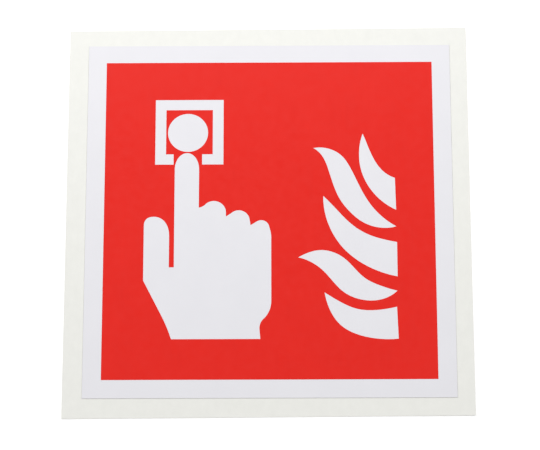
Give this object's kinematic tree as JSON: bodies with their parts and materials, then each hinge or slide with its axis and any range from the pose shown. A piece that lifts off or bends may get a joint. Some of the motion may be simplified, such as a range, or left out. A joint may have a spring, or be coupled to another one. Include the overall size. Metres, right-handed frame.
{
  "type": "fire alarm call point sign",
  "caption": "Square self-adhesive sign for a fire alarm call point, red with a white hand, button and flames, kiss-cut on its release liner.",
  "frame": {"origin": "centre of the liner's underside, which lies on the table", "axes": "+Z out of the printed face, +Y towards the top of the symbol, +X towards the flames"},
  "size_m": [0.11, 0.1106, 0.0003],
  "materials": {
    "liner_back": "matte",
    "liner_paper": "matte",
    "liner_release": "satin",
    "adhesive": "gloss",
    "white_film": "satin",
    "red_ink": "satin"
  },
  "bodies": {
    "liner": {"liner_back_coat": "liner_back", "liner_paper": "liner_paper", "liner_release_coat": "liner_release"},
    "label": {"adhesive_layer": "adhesive", "face_film": "white_film", "red_print": "red_ink"}
  },
  "joints": [
    {"name": "peel_hinge", "type": "hinge", "parent": "liner", "child": "label", "pos_m": [-0.0497, 0.00015, 0.00028], "axis": [0, -1, 0], "range_deg": [0, 175]}
  ]
}
